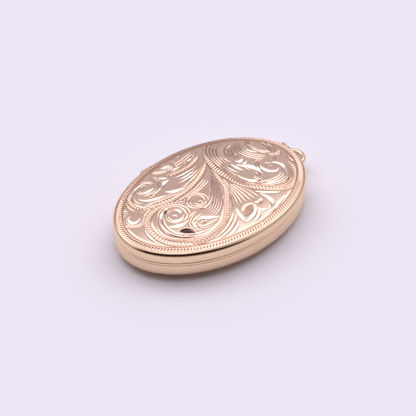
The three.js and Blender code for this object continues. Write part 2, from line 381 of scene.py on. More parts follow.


# ---------- engraving: the strokes
# Distances in mm; the strengths are of the painted shade (orange-brown, near-black past full strength) and of
# the painted highlight.
# A taper is the share of the stroke's length that each pointed end takes. Places across a bright
# cut run from -1 at its shallow edge to 1 at its steep edge.
TAPER_POWER = 0.7
GROOVE = {"taper": 0.3, "shoulder": 0.22, "highlight_paint": 0.32}
CUT = {"taper": 0.45, "floor": 0.62, "highlight_paint": 0.85, "highlight_paint_at": -0.15, "highlight_paint_half": 0.75,
       "shade_paint": 0.9, "shade_paint_from": 0.52, "shade_paint_rise": 0.2, "shade_paint_fall": 0.15}
HOLLOW = {"taper": 0.35, "slope": 0.35}
RIB = {"taper": 0.3, "height": 0.08, "edge": 0.18, "edge_depth": 0.13, "shade_paint": 0.9, "highlight_paint": 0.45}
BEADS = {"taper": 0.2, "pitch": 0.52, "depth": 0.17, "slant": 0.45, "height": 0.04, "edge": 0.17,
         "edge_depth": 0.12, "nick_shade_paint": 0.75, "edge_shade_paint": 0.85, "highlight_paint": 0.3}
GLINT = {"taper": 0.5, "height": 0.03, "highlight_paint": 0.7, "share": 0.9}
FAN = {"width": 0.36, "depth": 0.15, "shade_paint": 0.75}
ECHO = {"width": 0.32, "depth": 0.11, "shade_paint": 0.65}
EVEN_POINTS = 60
ECHO_STRIDE = 3
GRAVER_LEAN = (0.72, -0.69)
THINNEST = 1e-4
DEEPEST_CUT = 0.32
HIGHEST_RIB = 0.06
SPIRAL_POINTS = 20
SPIRAL_INNER = 0.3
SPIRAL_TIGHTENING = 1.7


def stroke(points, width, margin, taper):
    """The map cells near a stroke, their place in it, and its swell (0 at both ends) and half width."""
    inside, across, lateral, along, total = near_curve(catmull(points), width / 2 + margin)
    t = clamped(along / total)
    swell = clamped(t / taper) ** TAPER_POWER * clamped((1 - t) / taper) ** TAPER_POWER
    half = np.maximum(width / 2 * swell, THINNEST)
    return inside, across, lateral, along, swell, half


def groove(points, width, depth, shade_paint):
    """A V-shaped graver line, deepest in the middle, with painted shade in it and a painted highlight on the
    shoulder at both sides.
    """
    shoulder = GROOVE["shoulder"]
    inside, across, _, _, swell, half = stroke(points, width, shoulder, GROOVE["taper"])
    shape = clamped(1 - across / half)
    relief[inside] = np.minimum(relief[inside], -depth * swell * shape)
    # Painted shade in the line.
    painted_shade_map[inside] = np.maximum(painted_shade_map[inside] * (across > half), shade_paint * swell * np.sqrt(shape))
    # Painted highlight on the shoulders beside the line.
    beside = clamped(1 - np.abs(across - half - shoulder / 2) / (shoulder / 2)) * swell
    painted_highlight_map[inside] = np.maximum(painted_highlight_map[inside] * (across > half), GROOVE["highlight_paint"] * beside)


def broad_side(points):
    """+1 or -1: the side of a stroke that looks to the lower right, as the graver was leaned."""
    tangent = np.gradient(catmull(points), axis=0)
    left = np.stack([-tangent[:, 1], tangent[:, 0]], 1)
    return 1 if (left @ np.array(GRAVER_LEAN)).sum() > 0 else -1


def bright_cut(points, width, depth):
    """A broad slanting cut, shallow on one side and steep on the other, with a painted highlight across it
    and painted shade along its steep side.
    """
    floor = CUT["floor"]
    inside, _, lateral, _, swell, half = stroke(points, width, 0, CUT["taper"])
    within = np.abs(lateral) < half
    u = np.clip(broad_side(points) * lateral / half, -1, 1)
    cut = np.where(u < floor, (u + 1) / (floor + 1), (1 - u) / (1 - floor))
    relief[inside] = np.where(within, -depth * swell * cut, relief[inside])
    # Painted highlight across the cut.
    highlight_paint_shape = clamped(1 - np.abs(u - CUT["highlight_paint_at"]) / CUT["highlight_paint_half"])
    painted_highlight_map[inside] = np.where(within, CUT["highlight_paint"] * highlight_paint_shape, painted_highlight_map[inside])
    # Painted shade along the steep side.
    steep = clamped((u - CUT["shade_paint_from"]) / CUT["shade_paint_rise"]) * clamped((1 - u) / CUT["shade_paint_fall"])
    painted_shade_map[inside] = np.where(within, CUT["shade_paint"] * steep, painted_shade_map[inside])


def hollow(points, width, depth, shade_paint):
    """A smooth hollow with a sloping floor, filled with painted shade."""
    inside, across, _, _, _, half = stroke(points, width, 0, HOLLOW["taper"])
    bowl = clamped((1 - across / half) / HOLLOW["slope"])
    relief[inside] = np.minimum(relief[inside], -depth * bowl)
    # Painted shade in the hollow.
    painted_shade_map[inside] = np.maximum(painted_shade_map[inside], shade_paint * bowl)
    painted_highlight_map[inside] *= 1 - bowl


def rib(points, width):
    """A rounded rib, left standing between two fine cut lines."""
    inside, across, _, _, swell, half = stroke(points, width, RIB["edge"], RIB["taper"])
    on_rib = across < half
    crown = np.sqrt(clamped(1 - (across / half) ** 2))
    edge = clamped(1 - np.abs(across - half) / RIB["edge"]) * swell
    surface = np.where(on_rib, RIB["height"] * swell * crown, relief[inside])
    relief[inside] = surface - RIB["edge_depth"] * edge
    # Painted shade in the two cut lines.
    painted_shade_map[inside] = np.maximum(painted_shade_map[inside] * ~on_rib, RIB["shade_paint"] * edge)
    # Painted highlight along the rib's crown.
    painted_highlight_map[inside] = np.where(on_rib, RIB["highlight_paint"] * crown ** 4, painted_highlight_map[inside] * (1 - edge))


def nick_wave(distance, pitch):
    """0 on each crest and 1 at the bottom of each nick."""
    return 0.5 - 0.5 * np.cos(2 * math.pi * distance / pitch)


def beaded_band(points, width):
    """A milled band: slanting nicks across a low ribbon, between two fine lines."""
    inside, across, lateral, along, swell, half = stroke(points, width, BEADS["edge"], BEADS["taper"])
    on_band = across < half
    wave = nick_wave(along + BEADS["slant"] * lateral, BEADS["pitch"])
    belly = clamped(1 - (across / half) ** 2)
    edge = clamped(1 - np.abs(across - half) / BEADS["edge"]) * swell
    nick = BEADS["depth"] * swell * wave * np.sqrt(belly)
    surface = np.where(on_band, BEADS["height"] - nick, relief[inside])
    relief[inside] = surface - BEADS["edge_depth"] * edge
    # Painted shade in the nicks and the two edge lines.
    shade_paint = np.where(on_band, BEADS["nick_shade_paint"] * wave ** 2 * belly, painted_shade_map[inside])
    painted_shade_map[inside] = np.maximum(shade_paint, BEADS["edge_shade_paint"] * edge)
    # Painted highlight on the crests between the nicks.
    highlight_paint = BEADS["highlight_paint"] * (1 - wave) ** 2 * belly
    painted_highlight_map[inside] = np.where(on_band, highlight_paint, painted_highlight_map[inside] * (1 - edge))


def glint(points, width):
    """The bright edge of a rib between two cut lines: a low raised line with a painted highlight."""
    inside, across, _, _, swell, _ = stroke(points, width, 0, GLINT["taper"])
    glow = clamped(1 - across / (width / 2)) * swell
    relief[inside] += GLINT["height"] * glow
    painted_highlight_map[inside] = np.maximum(painted_highlight_map[inside], GLINT["highlight_paint"] * glow)


def evenly(points):
    """The same curve as a fixed number of points, so that two curves can be blended."""
    curve = catmull(points)
    share = np.linspace(0, 1, len(curve))
    wanted = np.linspace(0, 1, EVEN_POINTS)
    return np.stack([np.interp(wanted, share, curve[:, k]) for k in (0, 1)], 1)


def fan(first, last, count):
    """Fine lines spread evenly between two guide curves, with painted highlights along low ribs between them.
    """
    a, b = evenly(first), evenly(last)
    for k in range(2 * count - 1):
        share = k / (2 * count - 2)
        line = a * (1 - share) + b * share
        if k % 2 == 0:
            groove(line, **FAN)
        else:
            glint(line, FAN["width"] * GLINT["share"])


def echo(points, offsets):
    """Fine lines that follow a stroke at the given distances; positive is to its left."""
    curve = evenly(points)
    tangent = unit_tangent(curve)
    left = np.stack([-tangent[:, 1], tangent[:, 0]], 1)
    for offset in offsets:
        groove((curve + offset * left)[::ECHO_STRIDE], **ECHO)


def spiral(centre, radii, start, turns):
    """Points of a scroll that winds inwards; negative turns go clockwise."""
    points = []
    for t in np.linspace(0, 1, SPIRAL_POINTS):
        angle = math.radians(start) + 2 * math.pi * turns * t
        share = 1 - (1 - SPIRAL_INNER) * t ** SPIRAL_TIGHTENING
        points.append((centre[0] + radii[0] * share * math.cos(angle),
                       centre[1] + radii[1] * share * math.sin(angle)))
    return points


# ---------- engraving: the drawing
# Milled stems, from the hinge side outwards. Each is a list of plan points.
UPPER_STEM = [
    (-9.2, 6.6), (-7.6, 5.4), (-6.0, 4.6), (-4.5, 4.0), (-3.0, 3.55), (-1.5, 3.35), (0, 3.35), (1.5, 3.5),
    (3.0, 3.95), (4.4, 4.85), (5.6, 5.9), (6.6, 6.95), (7.3, 8.1), (7.5, 9.4), (7.2, 10.7), (6.5, 11.9),
    (5.4, 12.8), (4.0, 13.4), (2.6, 13.6), (1.5, 13.2)]
MIDDLE_STEM = [
    (-7.8, 5.0), (-6.0, 4.2), (-4.6, 3.75), (-3.4, 3.2), (-2.2, 2.7), (-1.0, 2.25), (0.3, 1.8), (1.4, 1.4),
    (2.2, 0.8), (3.1, 0.1), (3.9, -0.8), (5.0, -1.8), (6.0, -2.9), (6.8, -4.1), (7.3, -5.5), (7.55, -7.0),
    (7.5, -8.5), (7.0, -10.1), (6.1, -11.4), (4.7, -12.6), (3.0, -13.2), (1.4, -13.2), (0.0, -12.8),
    (-1.1, -12.0), (-1.8, -10.8), (-2.0, -9.4), (-1.8, -7.9), (-1.2, -6.7), (-0.2, -5.95), (1.0, -5.75),
    (2.1, -5.95)]
LOWER_STEM = [
    (-6.6, 4.2), (-5.4, 3.6), (-4.6, 2.8), (-3.9, 1.7), (-3.3, 0.6), (-2.8, -0.6), (-2.4, -1.9),
    (-2.1, -3.3), (-2.0, -4.8), (-2.05, -6.4), (-2.5, -8.0), (-3.0, -9.6), (-3.1, -11.0), (-2.8, -12.2)]
LEFT_STEM = [
    (-7.9, 4.6), (-7.1, 3.4), (-6.7, 2.3), (-6.45, 1.2), (-6.4, 0), (-6.5, -1.2), (-6.7, -2.4), (-7.3, -3.4)]
CORNER_STEM = [(-8.3, -8.6), (-7.6, -9.8), (-6.5, -10.8), (-5.1, -11.2), (-4.0, -11.0), (-3.1, -10.4)]
STEMS = [(LEFT_STEM, 0.6), (CORNER_STEM, 0.55), (LOWER_STEM, 0.72), (MIDDLE_STEM, 0.74), (UPPER_STEM, 0.92)]

# Fans of fine lines: first guide, last guide, how many lines
FANS = [
    ([(0.4, 2.9), (2.6, 3.1), (4.6, 3.3), (6.8, 3.5)], [(2.6, 1.1), (3.9, 0.3), (5.0, -0.6), (6.0, -1.5)], 7),
    ([(6.6, -1.2), (7.6, -2.4), (8.4, -3.9), (8.8, -5.4), (8.8, -6.8), (8.3, -8.3)],
     [(5.9, -1.9), (6.8, -3.2), (7.5, -4.9), (7.8, -6.4), (7.8, -8.0), (7.4, -9.3)], 3),
    ([(-1.4, 2.2), (0.6, 1.0), (2.6, -0.5), (4.2, -2.1), (5.0, -3.7), (5.1, -5.1)],
     [(-3.6, 3.0), (-1.6, 1.4), (0.3, -0.4), (1.8, -2.0), (2.9, -3.4), (3.2, -5.2)], 6),
    ([(-6.0, 3.2), (-5.75, 1.8), (-5.7, 0.4), (-5.7, -1.0), (-5.9, -2.9)],
     [(-5.0, 2.6), (-4.2, 1.4), (-3.5, -0.2), (-3.1, -1.6), (-3.0, -3.0)], 5),
    ([(-2.75, -1.2), (-2.35, -3.0), (-2.2, -5.0), (-2.45, -7.0), (-3.0, -9.0), (-3.6, -10.2)],
     [(-3.0, -1.6), (-2.8, -3.2), (-2.75, -5.2), (-3.1, -7.0), (-3.7, -8.6), (-4.5, -9.8)], 3),
    ([(-1.9, 1.4), (-1.1, 0.2), (-0.7, -1.4), (-0.5, -3.0), (-0.7, -4.8), (-0.8, -6.0)],
     [(-2.4, 1.2), (-1.8, -0.4), (-1.3, -2.0), (-1.05, -3.6), (-0.95, -5.0), (-0.95, -6.4)], 3),
    ([(-8.3, 10.6), (-8.9, 8.6), (-8.4, 6.8), (-6.6, 5.3), (-4.2, 4.5), (-1.6, 4.1), (0.4, 4.2)],
     [(-7.0, 10.2), (-7.4, 8.8), (-6.9, 7.5), (-5.5, 6.4), (-3.9, 5.8), (-2.0, 5.4), (-0.2, 5.4)], 4),
    ([(-6.4, 10.2), (-6.3, 9.0), (-5.4, 7.9), (-4.2, 7.3), (-3.0, 7.1)],
     [(-5.4, 9.9), (-5.2, 9.2), (-4.6, 8.6), (-3.8, 8.2), (-3.0, 8.1)], 3),
    ([(-6.6, 11.8), (-5.6, 10.3), (-3.9, 9.3), (-2.0, 9.3), (-0.3, 10.2), (0.9, 11.7)],
     [(-5.9, 12.0), (-5.0, 10.9), (-3.7, 10.2), (-2.3, 10.3), (-0.9, 11.1), (0.3, 12.4)], 3),
    ([(-8.7, 5.6), (-8.1, 4.2), (-7.7, 2.8), (-7.3, 1.2), (-7.2, -0.4), (-7.6, -2.2)],
     [(-9.3, 5.6), (-9.0, 4.2), (-8.7, 2.8), (-8.4, 1.2), (-8.3, -0.6), (-8.4, -2.4)], 3),
    ([(-9.4, -4.6), (-9.4, -6.6), (-8.9, -8.4), (-7.9, -10.2), (-6.4, -11.7), (-4.6, -12.1), (-3.2, -11.4)],
     [(-8.6, -5.4), (-8.8, -6.8), (-8.5, -8.2), (-7.7, -9.4), (-6.4, -10.3), (-5.0, -10.4), (-3.9, -9.6)], 3),
    ([(0.6, -11.9), (2.2, -12.4), (3.8, -12.3), (5.2, -11.4), (6.2, -10.0), (6.7, -8.4), (6.8, -6.6)],
     [(0.6, -10.9), (2.0, -11.4), (3.4, -11.3), (4.8, -10.5), (5.8, -9.4), (6.3, -8.0), (6.3, -6.6)], 3),
    ([(-0.4, 5.0), (1.2, 4.6), (2.7, 4.9), (3.9, 5.9), (4.6, 7.2), (4.9, 8.6)],
     [(2.6, 4.3), (3.6, 4.8), (4.6, 5.7), (5.5, 6.8), (6.2, 8.2), (6.4, 9.8)], 4),
]

# Ribs left standing: points, width
RIBS = [
    ([(0.3, -0.5), (1.3, -1.5), (2.3, -2.6)] + spiral((1.05, -4.0), (1.65, 1.6), 4, -1.6), 0.46),
    ([(6.6, -5.2), (6.7, -6.8), (6.5, -8.2), (5.9, -9.6), (4.8, -10.8), (3.3, -11.4), (1.7, -11.3),
      (0.3, -10.6)] + spiral((1.0, -8.5), (1.98, 2.0), 212, -1.3), 0.56),
    (spiral((-2.7, 13.2), (2.95, 1.7), -51, 1.8), 0.42),
    ([(-9.2, -5.2), (-8.2, -4.7), (-6.9, -4.8)] + spiral((-6.9, -7.0), (1.9, 2.0), 45, -1.1), 0.42),
    ([(5.8, -4.0), (4.9, -5.2), (4.1, -6.4), (4.1, -7.2), (4.8, -7.7), (5.6, -7.4), (6.0, -6.4),
      (6.0, -5.2), (5.8, -4.2)], 0.34),
    ([(2.7, -5.8), (3.0, -7.0), (3.7, -8.0), (4.9, -8.45), (6.0, -8.1)], 0.34),
    ([(5.0, 6.3), (5.7, 7.3), (6.1, 8.7), (5.9, 10.2), (5.2, 11.2), (4.2, 11.9)], 0.5),
    ([(0.0, 11.0), (0.1, 10.0), (0.6, 9.1), (1.5, 8.6), (2.6, 8.6)], 0.4),
    ([(-9.9, -0.6), (-8.9, 0.1), (-8.1, -0.9), (-8.1, -2.5), (-8.9, -3.7), (-9.8, -3.5),
      (-10.1, -2.1)], 0.34),
    ([(1.4, 14.6), (2.6, 14.5), (4.2, 14.2), (5.6, 13.5)], 0.36),
    ([(0.4, 14.8), (0.7, 13.9), (0.5, 13.0)], 0.4),
    ([(9.35, 6.2), (9.7, 4.6), (9.85, 3.0), (9.8, 1.4)], 0.3),
    ([(-4.4, -12.9), (-3.9, -14.0), (-2.7, -14.7), (-1.5, -14.4), (-1.0, -13.4), (-1.4, -12.4)], 0.36),
]

# Broad bright cuts: points, width, depth
CUTS = [
    ([(1.7, 10.9), (2.2, 11.7), (3.2, 12.0), (4.2, 11.6), (5.1, 10.9), (5.6, 9.9)], 0.8, 0.22),
    ([(3.4, 11.3), (3.7, 10.4), (3.4, 9.5), (2.5, 8.95), (1.5, 9.0), (0.75, 9.6), (0.5, 10.5)], 0.6, 0.18),
    ([(5.7, 8.9), (5.5, 7.8), (5.0, 6.9), (4.5, 6.3)], 0.45, 0.14),
    ([(-1.6, 6.3), (-0.7, 6.9), (0.1, 7.6), (1.0, 8.0), (2.0, 8.1), (3.0, 7.8), (3.6, 7.2)], 0.95, 0.24),
    ([(3.8, 6.9), (3.6, 5.9), (2.8, 5.1), (1.6, 4.8)], 0.62, 0.18),
    ([(-2.6, 5.9), (-1.5, 5.95), (-0.3, 6.05), (0.9, 6.3)], 0.6, 0.17),
    ([(-3.0, 5.2), (-1.6, 5.0), (-0.2, 5.1), (1.0, 5.5)], 0.42, 0.12),
    ([(-4.9, 6.7), (-3.8, 6.35), (-2.8, 6.3), (-1.9, 6.6)], 0.45, 0.14),
    ([(-2.3, 8.9), (-1.7, 8.2), (-1.7, 7.4), (-2.5, 6.95)], 0.6, 0.18),
    ([(-1.1, 8.7), (-0.75, 7.9), (-1.0, 7.1)], 0.42, 0.12),
    ([(-4.0, 8.9), (-3.4, 8.4), (-3.2, 7.8)], 0.62, 0.16),
    ([(-4.9, 11.4), (-4.0, 10.9), (-3.0, 10.85), (-2.0, 11.3), (-1.1, 12.2)], 0.4, 0.14),
    ([(-4.6, 12.9), (-3.9, 12.2), (-2.9, 12.1), (-2.2, 12.6)], 0.42, 0.13),
    ([(-4.6, 13.8), (-3.4, 14.2), (-2.0, 14.2), (-0.9, 13.7)], 0.42, 0.13),
    ([(-9.9, 2.9), (-9.8, 2.0), (-10.0, 1.0)], 0.55, 0.15),
    ([(-8.7, -0.6), (-8.9, -1.6), (-9.2, -2.6)], 0.66, 0.18),
    ([(-7.8, 3.4), (-7.6, 2.4), (-7.8, 1.2)], 0.6, 0.16),
    ([(-7.25, 1.2), (-7.2, 0.0), (-7.5, -1.3), (-8.0, -2.6)], 0.42, 0.12),
    ([(-5.5, 1.8), (-5.4, 0.4), (-5.35, -0.9), (-5.5, -2.1), (-5.7, -3.1)], 0.5, 0.16),
    ([(-4.95, 1.6), (-4.7, 0.0), (-4.6, -1.5), (-4.8, -3.1)], 0.4, 0.13),
    ([(-4.2, 0.2), (-4.0, -1.5), (-4.0, -3.8)], 0.36, 0.12),
    ([(-5.7, -3.4), (-5.85, -4.3), (-5.5, -5.1), (-5.0, -5.9)], 0.78, 0.22),
    ([(-6.2, -3.2), (-6.8, -3.8), (-7.6, -4.4)], 0.5, 0.14),
    ([(-2.75, -3.2), (-2.85, -4.3), (-3.3, -5.2), (-4.1, -6.1)], 0.62, 0.18),
    ([(-6.2, -6.0), (-5.95, -7.0), (-6.2, -8.2), (-6.7, -8.7)], 0.6, 0.18),
    ([(-8.1, -6.6), (-8.1, -8.0), (-7.6, -9.2), (-6.6, -9.9)], 0.6, 0.18),
    ([(-6.2, -9.9), (-5.1, -9.6), (-4.2, -8.8), (-3.6, -7.4), (-3.2, -6.2)], 0.5, 0.15),
    ([(-3.7, -12.9), (-3.4, -13.6), (-2.7, -14.0), (-2.0, -13.6), (-2.0, -12.8), (-2.6, -12.3)], 0.5, 0.15),
    ([(-2.2, -11.6), (-1.2, -12.6), (0.2, -13.5), (2.0, -14.0), (3.8, -13.9), (5.4, -13.1)], 0.5, 0.15),
    ([(-0.7, -8.8), (-0.3, -9.9), (0.5, -10.7), (1.5, -11.2)], 0.45, 0.15),
    ([(0.0, -7.9), (0.5, -7.5), (1.2, -7.6), (1.5, -8.2)], 0.6, 0.18),
    ([(2.2, -7.7), (2.3, -8.7), (1.9, -9.4), (1.2, -9.8)], 0.42, 0.14),
    ([(5.7, -4.1), (5.0, -5.1), (4.2, -6.1), (4.0, -7.0)], 0.5, 0.17),
    ([(3.2, -7.9), (3.3, -9.0), (2.9, -10.0), (2.2, -10.9)], 0.7, 0.17),
    ([(3.6, -5.2), (3.6, -6.6), (4.1, -7.7), (5.1, -8.1), (6.0, -7.6), (6.25, -6.4)], 0.34, 0.12),
    ([(6.1, -0.9), (7.0, -1.4), (8.1, -1.7), (9.1, -1.9)], 0.6, 0.2),
    ([(7.1, 1.9), (8.0, 1.2), (8.6, 0.2), (8.95, -0.9), (9.05, -1.8)], 0.62, 0.18),
    ([(7.9, 1.9), (8.8, 1.2), (9.4, 0.2), (9.7, -1.0)], 0.42, 0.13),
    ([(6.0, 4.1), (6.9, 4.45), (7.8, 4.5), (8.6, 4.2), (9.1, 3.5), (9.2, 2.8)], 0.75, 0.22),
    ([(9.1, 2.6), (8.7, 1.9), (8.0, 1.6)], 0.45, 0.14),
    ([(6.7, 3.6), (7.2, 3.1), (7.1, 2.4), (6.8, 2.1)], 0.5, 0.17),
    ([(8.6, 7.2), (8.95, 5.8), (9.35, 4.3), (9.5, 2.8)], 0.4, 0.13),
    ([(5.0, 3.8), (6.0, 4.7), (7.0, 5.9), (7.8, 7.1)], 0.4, 0.14),
    ([(8.3, -2.6), (8.9, -3.6), (9.2, -5.0), (9.1, -6.4)], 0.4, 0.13),
]

# Deep hollows filled with painted shade, near-black past full strength: points, width, depth, painted shade
HOLLOWS = [
    ([(3.9, -10.2), (4.4, -9.6), (4.9, -9.1), (5.7, -8.7)], 1.0, 0.22, 1.88),
    ([(-0.7, -8.5), (-0.55, -8.95), (-0.2, -9.5)], 0.5, 0.15, 1.7),
    ([(1.3, -3.7), (1.55, -3.95), (1.8, -4.1)], 0.4, 0.1, 1.4),
    ([(3.55, 6.8), (3.75, 6.4), (3.6, 5.9)], 0.42, 0.12, 1.3),
    ([(6.8, 1.7), (7.1, 0.8), (7.5, 0.0), (8.1, -1.0)], 1.7, 0.08, 0.42),
    ([(7.0, 3.3), (7.3, 2.8), (7.2, 2.3)], 0.6, 0.12, 0.8),
]

# Long fine lines beside other strokes: points, distances to the left
ECHOES = [
    (UPPER_STEM[3:12], (0.75, 1.05, -0.68)),
    (UPPER_STEM[10:], (0.7, 1.0)),
    (MIDDLE_STEM[11:], (0.55, -0.55)),
    (LOWER_STEM[2:], (0.6, -0.62)),
    (LEFT_STEM[1:], (0.5, -0.5)),
    ([(-5.2, 9.0), (-4.2, 8.2), (-3.0, 7.6), (-2.2, 7.5)], (0, 0.4, 0.8)),
    ([(-6.2, 10.4), (-5.4, 9.4), (-4.4, 8.8)], (0, 0.4)),
    ([(-0.2, 12.2), (0.6, 12.6), (1.2, 12.2), (1.4, 11.4)], (0, 0.35)),
    ([(1.6, 7.3), (2.4, 7.2), (2.9, 6.6), (2.6, 5.9)], (0, 0.4)),
    ([(-0.6, 6.7), (0.5, 6.9), (1.6, 6.9)], (0,)),
    ([(1.2, 10.9), (1.5, 10.2), (2.2, 9.9), (2.9, 10.2)], (0, 0.4)),
    ([(4.4, 10.6), (4.9, 9.7), (4.9, 8.7), (4.5, 7.8)], (0, 0.42)),
    ([(-7.2, -6.4), (-7.3, -7.4), (-7.0, -8.4)], (0, -0.3)),
    ([(-5.2, -6.6), (-4.9, -7.6), (-5.2, -8.6)], (0, 0.35)),
    ([(-9.6, -0.6), (-9.8, -2.0), (-9.8, -3.4)], (0,)),
    ([(-6.9, -12.4), (-5.5, -13.0), (-4.4, -12.6)], (0, -0.35)),
    ([(0.9, -8.9), (1.2, -8.6), (1.6, -8.8)], (0,)),
    ([(4.6, -5.9), (4.9, -6.6), (5.3, -6.9)], (0, 0.3)),
    ([(6.6, 8.0), (6.8, 9.2), (6.6, 10.4), (6.0, 11.5)], (0,)),
]

MILL = {"inset": 0.92, "half": 0.46, "pitch": 0.5, "slant": -0.55, "depth": 0.24, "deepest": 0.3,
        "edge": 0.3, "edge_depth": 0.05, "edge_shade_paint": 0.5, "line": 1.56, "line_half": 0.16,
        "line_depth": 0.1, "line_shade_paint": 0.8, "shade_paint": 1.45, "highlight_paint": 0.5}
CLEAR_BORDER = 1.7
BORDER_MARGIN = 0.2
OUTLINE_SAMPLES = 2400


def draw_border():
    """The milled border between two plain lines, all round the front."""
    outline_curve = np.stack(ellipse_points(np.linspace(0, 2 * math.pi, OUTLINE_SAMPLES), 0.0), 1)
    inside, _, inset, along, _ = near_curve(outline_curve, CLEAR_BORDER + BORDER_MARGIN)
    u = (inset - MILL["inset"]) / MILL["half"]
    belt = np.abs(u) < 1
    wave = nick_wave(along + MILL["slant"] * inset, MILL["pitch"])
    deepest = MILL["deepest"]
    scoop = np.where(u < deepest, (1 + u) / (1 + deepest), (1 - u) / (1 - deepest)) * belt
    edge = clamped(1 - np.abs(np.abs(u) - 1) / MILL["edge"])
    line = clamped(1 - np.abs(inset - MILL["line"]) / MILL["line_half"])
    clear = inset < CLEAR_BORDER
    relief[inside] = (np.where(clear, 0, relief[inside]) - MILL["depth"] * wave * scoop
                      - MILL["edge_depth"] * edge - MILL["line_depth"] * line)
    # Painted shade in the nicks, along the border's edges and in the plain line, near-black in the deepest
    # nicks.
    shade_paint = (MILL["shade_paint"] * wave ** 2 * np.sqrt(np.maximum(scoop, 0))
             + MILL["edge_shade_paint"] * edge + MILL["line_shade_paint"] * line)
    painted_shade_map[inside] = np.clip(np.where(clear, shade_paint, painted_shade_map[inside]), 0, MILL["shade_paint"])
    # Painted highlight on the crests between the nicks.
    highlight_paint = MILL["highlight_paint"] * (1 - wave) ** 3 * scoop
    painted_highlight_map[inside] = np.where(clear, highlight_paint, painted_highlight_map[inside])


def draw_engraving():
    """Draws each table's strokes; the later tables lie over the earlier ones."""
    for draw, table in ((echo, ECHOES), (fan, FANS), (rib, RIBS), (bright_cut, CUTS),
                        (hollow, HOLLOWS), (beaded_band, STEMS)):
        for values in table:
            draw(*values)
    draw_border()
    np.clip(relief, -DEEPEST_CUT, HIGHEST_RIB, out=relief)


def sample_map(values, x, y):
    """Bilinear reading of a map at plan positions."""
    column = np.clip((x + MAP_X) / CELL - 0.5, 0, MAP_SIZE[1] - 1.001)
    row = np.clip((y + MAP_Y) / CELL - 0.5, 0, MAP_SIZE[0] - 1.001)
    c, r = column.astype(int), row.astype(int)
    fc, fr = column - c, row - r
    top = values[r, c] * (1 - fc) + values[r, c + 1] * fc
    bottom = values[r + 1, c] * (1 - fc) + values[r + 1, c + 1] * fc
    return top * (1 - fr) + bottom * fr


# ---------- covers
ENGRAVED_GRID = (116, 174)
PLAIN_GRID = (40, 60)
SHOULDER_SHARE = 0.92
ROUND_EDGE = 0.06
INNER_BEVEL = 0.03
WALL_SHARES = (0.66, 0.33, 0)
EDGE_TURNS = np.radians([30, 60, 90])
INNER_SHOULDER_STEPS = 4
INNER_DOME_SHARES = (0.7, 0.35)
# Where the painted reflection on the side walls starts, and how fast it comes in.
PAINTED_WALL_FROM = 0.955
PAINTED_WALL_FADE = 0.035


def shoulder_point(half, turn, offset=0.0):
    """(inset, height from the opening line) round the shoulder of a cover."""
    radius = SHOULDER - offset
    return SHOULDER - radius * math.cos(turn), half["wall"] + radius * math.sin(turn)


def dome_height(half, share, offset=0.0):
    """Height on the dome; share is 0 at the middle and 1 at the shoulder."""
    edge = shoulder_point(half, SHOULDER_TURN, offset)[1]
    return edge + (half["depth"] - offset - edge) * (1 - share ** 2)


def square_to_disc(across, along):
    """Ring share and angle of each point of a square grid drawn onto a disc."""
    a, b = np.meshgrid(np.linspace(-1, 1, 2 * across + 1), np.linspace(-1, 1, 2 * along + 1))
    share = np.maximum(np.abs(a), np.abs(b))
    wide = np.abs(a) > np.abs(b)
    with np.errstate(divide="ignore", invalid="ignore"):
        angle = np.where(wide, math.pi / 4 * b / a, math.pi / 2 - math.pi / 4 * a / b)
    angle = np.where((wide & (a < 0)) | (~wide & (b < 0)), angle + math.pi, angle)
    return share, np.nan_to_num(angle)


def boundary_of_grid(columns, rows):
    """Indices of a grid's edge, anticlockwise from the lower left corner."""
    index = np.arange(columns * rows).reshape(rows, columns)
    return np.concatenate([index[0, :-1], index[:-1, -1], index[-1, :0:-1], index[:0:-1, 0]]).tolist()


def grid_faces(columns, rows):
    corners = [j * columns + i for j in range(rows - 1) for i in range(columns - 1)]
    return [(a, a + 1, a + 1 + columns, a + columns) for a in corners]


def wall_loops(half):
    """(inset, scale, height) loops from the shoulder's foot down the wall and up the inside."""
    edge = half["edge"]
    rounding = edge + ROUND_EDGE
    loops = [(0, 1, share * half["wall"] + (1 - share) * rounding) for share in WALL_SHARES]
    for turn in EDGE_TURNS:
        loops.append((ROUND_EDGE * (1 - math.cos(turn)), 1, edge + ROUND_EDGE * (1 - math.sin(turn))))
    loops.append((SHEET - INNER_BEVEL, 1, edge))
    loops.append((SHEET, 1, edge + INNER_BEVEL))
    for turn in np.linspace(0, SHOULDER_TURN, INNER_SHOULDER_STEPS):
        inset, height = shoulder_point(half, turn, SHEET)
        loops.append((inset, 1, height))
    last_inset = loops[-1][0]
    for scale in INNER_DOME_SHARES:
        loops.append((last_inset, scale, dome_height(half, scale, SHEET)))
    return loops


